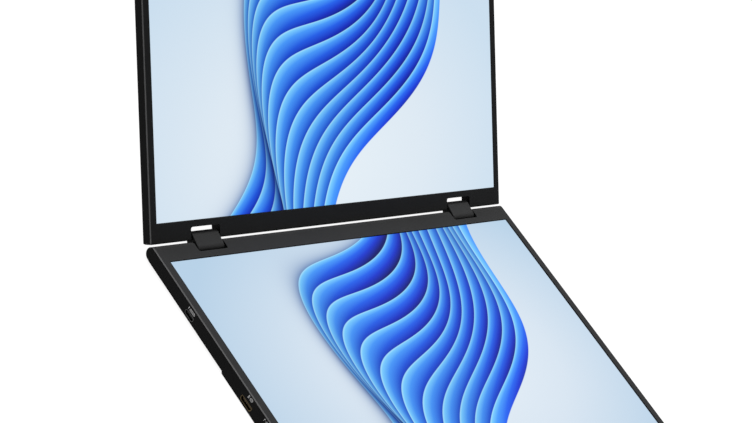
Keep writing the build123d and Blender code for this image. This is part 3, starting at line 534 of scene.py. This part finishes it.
def geometry_tree(name, inputs):
    tree = bpy.data.node_groups.new(name, "GeometryNodeTree")
    for label, kind in inputs:
        tree.interface.new_socket(label, in_out="INPUT", socket_type=kind)
    tree.interface.new_socket("Geometry", in_out="OUTPUT", socket_type="NodeSocketGeometry")
    return tree, add_node(tree, "NodeGroupInput").outputs


def repeat_and_finish(tree, given, part):
    """Copies a part along a line of points, makes the copies real and gives them their finish."""
    line = add_node(tree, "GeometryNodeMeshLine", {
        "Count": given["Count"], "Start Location": given["Start"], "Offset": given["Step"],
    }, mode="OFFSET")
    copies = add_node(tree, "GeometryNodeInstanceOnPoints", {"Points": line.outputs[0], "Instance": part})
    real = add_node(tree, "GeometryNodeRealizeInstances", {"Geometry": copies.outputs[0]})
    done = add_node(tree, "GeometryNodeSetMaterial", {
        "Geometry": real.outputs[0], "Material": given["Finish"],
    })
    add_node(tree, "NodeGroupOutput", {"Geometry": done.outputs[0]})


def wire_cloth_tree():
    tree, given = geometry_tree("wire_cloth", [
        ("Width", "NodeSocketFloat"), ("Length", "NodeSocketFloat"), ("Wires across", "NodeSocketInt"),
        ("Wires along", "NodeSocketInt"), ("Wire radius", "NodeSocketFloat"), ("Count", "NodeSocketInt"),
        ("Start", "NodeSocketVector"), ("Step", "NodeSocketVector"), ("Finish", "NodeSocketMaterial"),
    ])
    grid = add_node(tree, "GeometryNodeMeshGrid", {
        "Size X": given["Width"], "Size Y": given["Length"],
        "Vertices X": given["Wires along"], "Vertices Y": given["Wires across"],
    })
    lines = add_node(tree, "GeometryNodeMeshToCurve", {"Mesh": grid.outputs[0]})
    round_wire = add_node(tree, "GeometryNodeCurvePrimitiveCircle", {
        "Resolution": 4, "Radius": given["Wire radius"],
    })
    wires = add_node(tree, "GeometryNodeCurveToMesh", {
        "Curve": lines.outputs[0], "Profile Curve": round_wire.outputs[0], "Fill Caps": True,
    })
    repeat_and_finish(tree, given, wires.outputs[0])
    return tree


def made_by(tree, name, body, values):
    """Runs a tree with its inputs set and keeps the result as a plain mesh that rides on the body."""
    seed = bpy.data.objects.new(name + "_seed", bpy.data.meshes.new(name + "_seed"))
    scene.collection.objects.link(seed)
    modifier = seed.modifiers.new("shape", "NODES")
    modifier.node_group = tree
    for label, value in values.items():
        modifier_input(modifier, tree, label, value)
    whole = seed.evaluated_get(bpy.context.evaluated_depsgraph_get())
    mesh = bpy.data.meshes.new_from_object(whole)
    bpy.data.objects.remove(seed)
    mesh.name = name
    piece = bpy.data.objects.new(name, mesh)
    scene.collection.objects.link(piece)
    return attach(piece, body)


cloth_tree = wire_cloth_tree()
for hand, side_name in ((-1, "left"), (1, "right")):
    first_slot = hand * grille_place[0] - (grille_count - 1) / 2 * grille_pitch
    made_by(cloth_tree, "speaker_cloth_" + side_name, "lower_panel", {
        "Width": grille_slot[0] + 2 * cloth_lap,
        "Length": grille_slot[1] + 2 * cloth_lap,
        "Wires along": round(grille_slot[0] / wire_mesh) + 1,
        "Wires across": round(grille_slot[1] / wire_mesh) + 1,
        "Wire radius": wire_radius,
        "Count": grille_count,
        "Start": (first_slot, hinge_edge_lower[1] + grille_place[1], hinge_edge_lower[2] + grille_depth),
        "Step": (grille_pitch, 0, 0),
        "Finish": speaker_wire,
    })

# The ports in the left side: drawn steel shells for the two USB-C receptacles, a warm plated
# shell for the mini-HDMI one, and moulded black tongues; the third is painted a light brown, a painted
# reflection of the lit plated shell inside its mouth.
hdmi_insert_painted_light = (0.16, 0.11, 0.06)
hdmi_place = 0.1166
hdmi_half_width = 0.0065
dress(
    finish("port_drawn_steel", (0.06, 0.06, 0.06), (0.10, 0.10, 0.10), rough=0.32, gloss=0.5, metal=1.0),
    "usb_c_port_rear", "usb_c_port_front",
)
dress(
    finish(
        "port_plated_brass", (0.075, 0.055, 0.030), (0.115, 0.088, 0.048), rough=0.32, gloss=0.5, metal=1.0,
    ),
    "mini_hdmi_port",
)
insert = finish("insert_moulded_black", (0.008, 0.008, 0.008), (0.014, 0.014, 0.014), rough=0.5, gloss=0.3)
insert_tree = insert.node_tree
insert_place = add_node(insert_tree, "ShaderNodeTexCoord").outputs["Object"]
insert_row = add_node(insert_tree, "ShaderNodeSeparateXYZ", {"Vector": insert_place}).outputs["Y"]
off_hdmi = calc(insert_tree, "SUBTRACT", insert_row, hinge_edge_lower[1] - hdmi_place)
in_hdmi = calc(insert_tree, "LESS_THAN", calc(insert_tree, "ABSOLUTE", off_hdmi), hdmi_half_width)
# A painted reflection: the mini-HDMI tongue is painted light brown for the lit plated shell around it
dress(paint_over(insert, in_hdmi, hdmi_insert_painted_light), "port_inserts")
contact_gold = finish(
    "contact_gold", (0.62, 0.42, 0.14), (0.75, 0.55, 0.22), rough=0.25, gloss=0.5, metal=1.0,
    relief=0.000004,
)
panel_side = -0.1779
contact_thickness = 0.00002
contact_reach = 0.0026
contact_from_side = 0.0013
# Each port: its name, place from the hinge edge, depth, tongue thickness, contacts on a side, and
# their pitch and width
port_contacts = (
    ("usb_c_rear", 0.0494, 0.0063, 0.0007, 12, 0.00050, 0.00026),
    ("usb_c_front", 0.1420, 0.0074, 0.0007, 12, 0.00050, 0.00026),
    ("mini_hdmi", hdmi_place, 0.0075, 0.0008, 19, 0.00040, 0.00020),
)


def contact_tree():
    tree, given = geometry_tree("contact_row", [
        ("Size", "NodeSocketVector"), ("Count", "NodeSocketInt"), ("Start", "NodeSocketVector"),
        ("Step", "NodeSocketVector"), ("Finish", "NodeSocketMaterial"),
    ])
    pad = add_node(tree, "GeometryNodeMeshCube", {"Size": given["Size"]})
    repeat_and_finish(tree, given, pad.outputs[0])
    return tree


contact_rows = contact_tree()
for port, place, depth, tongue, count, pitch, width in port_contacts:
    for face, face_name in ((1, "top"), (-1, "bottom")):
        start_y = hinge_edge_lower[1] - place + (count - 1) / 2 * pitch
        start_z = hinge_edge_lower[2] - depth + face * (tongue + contact_thickness) / 2
        made_by(contact_rows, f"{port}_contacts_{face_name}", "lower_panel", {
            "Size": (contact_reach, width, contact_thickness),
            "Count": count,
            "Start": (panel_side + contact_from_side + contact_reach / 2, start_y, start_z),
            "Step": (0, -pitch, 0),
            "Finish": contact_gold,
        })

# The port marks: a number and a plain outline of each port's mouth, printed in white ink on
# the left side above the ports.
ink_thickness = 0.00002
mark_line = 0.0008
mark_gap = 0.0005
figure_weight = 0.09
inner_bevel_share = 0.6
least_bevel = 0.0001
# Each mark: its number, where it starts from the hinge edge, its middle below the face, and the
# length, height and bevel of its outline
port_marks = (
    ("1", 0.0458, 0.0028, 0.0060, 0.0018, 0.0007),
    ("2", 0.1148, 0.0025, 0.0029, 0.0021, 0.0005),
    ("3", 0.1327, 0.0026, 0.0060, 0.0018, 0.0007),
)


def mark_outline(bm, left, width, height, bevel):
    """A ring with cut corners, drawn flat with its left end at the given place."""
    rings = []
    for inset in (0, mark_line):
        half_w, half_h = width / 2 - inset, height / 2 - inset
        cut = max(bevel - inset * inner_bevel_share, least_bevel)
        corners = []
        for sx, sy, order in ((1, 1, 1), (-1, 1, -1), (-1, -1, 1), (1, -1, -1)):
            pair = [(sx * half_w, sy * (half_h - cut)), (sx * (half_w - cut), sy * half_h)]
            corners += pair[::order]
        rings.append([bm.verts.new((left + width / 2 + x, y, 0)) for x, y in corners])
    outer, inner = rings
    for i in range(len(outer)):
        j = (i + 1) % len(outer)
        bm.faces.new((outer[i], outer[j], inner[j], inner[i]))


def number_shape(text, height):
    """The outline font's figure as a flat mesh, its left end at zero and its middle on the line."""
    curve = bpy.data.curves.new("figure", "FONT")
    curve.body = text
    curve.offset = figure_weight
    holder = bpy.data.objects.new("figure", curve)
    scene.collection.objects.link(holder)
    mesh = bpy.data.meshes.new_from_object(holder.evaluated_get(bpy.context.evaluated_depsgraph_get()))
    bpy.data.objects.remove(holder)
    low = [min(v.co[i] for v in mesh.vertices) for i in (0, 1)]
    high = [max(v.co[i] for v in mesh.vertices) for i in (0, 1)]
    scale = height / (high[1] - low[1])
    for vert in mesh.vertices:
        vert.co = ((vert.co.x - low[0]) * scale, (vert.co.y - (low[1] + high[1]) / 2) * scale, 0)
    return mesh, (high[0] - low[0]) * scale


def thicken(bm, thickness):
    """Gives a flat sheet its thickness, with its corners and faces in the same order in every run."""
    sheet = list(bm.faces)
    rims = [
        (face, loop.vert, loop.link_loop_next.vert)
        for face in sheet for loop in face.loops if loop.edge.is_boundary
    ]
    raised = {}
    for vert in list(bm.verts):
        raised[vert] = bm.verts.new((vert.co.x, vert.co.y, vert.co.z + thickness))
    for face in sheet:
        bm.faces.new([raised[vert] for vert in face.verts], face)
    for face, first, second in rims:
        bm.faces.new((first, second, raised[second], raised[first]), face)
    bmesh.ops.recalc_face_normals(bm, faces=list(bm.faces))


ink = finish(
    "mark_white_ink", (0.90, 0.90, 0.90), (0.98, 0.98, 0.98), rough=0.6, gloss=0.2,
    grain=0.00012, patch=0.0006,
)
# The side is read from outside: right is towards the front edge and up is up
to_side = Matrix(((0, 0, -1, 0), (-1, 0, 0, 0), (0, 1, 0, 0), (0, 0, 0, 1)))
bm = bmesh.new()
for number, start, below, length, height, bevel in port_marks:
    one = bmesh.new()
    figure, figure_width = number_shape(number, height)
    one.from_mesh(figure)
    mark_outline(one, figure_width + mark_gap, length, height, bevel)
    thicken(one, ink_thickness)
    place = Vector((panel_side, hinge_edge_lower[1] - start, hinge_edge_lower[2] - below))
    one.transform(Matrix.Translation(place) @ to_side)
    part = bpy.data.meshes.new("mark")
    one.to_mesh(part)
    one.free()
    bm.from_mesh(part)
mesh = bpy.data.meshes.new("port_marks")
bm.to_mesh(mesh)
bm.free()
mesh.materials.append(ink)
marks = bpy.data.objects.new("port_marks", mesh)
scene.collection.objects.link(marks)
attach(marks, "lower_panel")

# The power button and the menu rocker in the right side, moulded in black.
dress(
    finish("button_moulded_black", (0.016, 0.016, 0.016), (0.024, 0.024, 0.024), rough=0.45, gloss=0.2),
    "power_button", "menu_rocker",
)

# What carries the monitors: a folding aluminium stand plate on two pins, its rubber edge
# and four glued rubber feet.
dress(finish("stand_anodised", shell_black, shell_dust, rough=0.5, gloss=matt_gloss), "kickstand_plate")
dress(finish("stand_pin_steel", *ground_steel, rough=0.3, gloss=0.5, metal=1.0), "kickstand_pins")
dress(
    finish("rubber_black", (0.010, 0.010, 0.010), (0.018, 0.018, 0.018), rough=0.8, gloss=0.2),
    "kickstand_strip", "rear_feet", "front_feet",
)
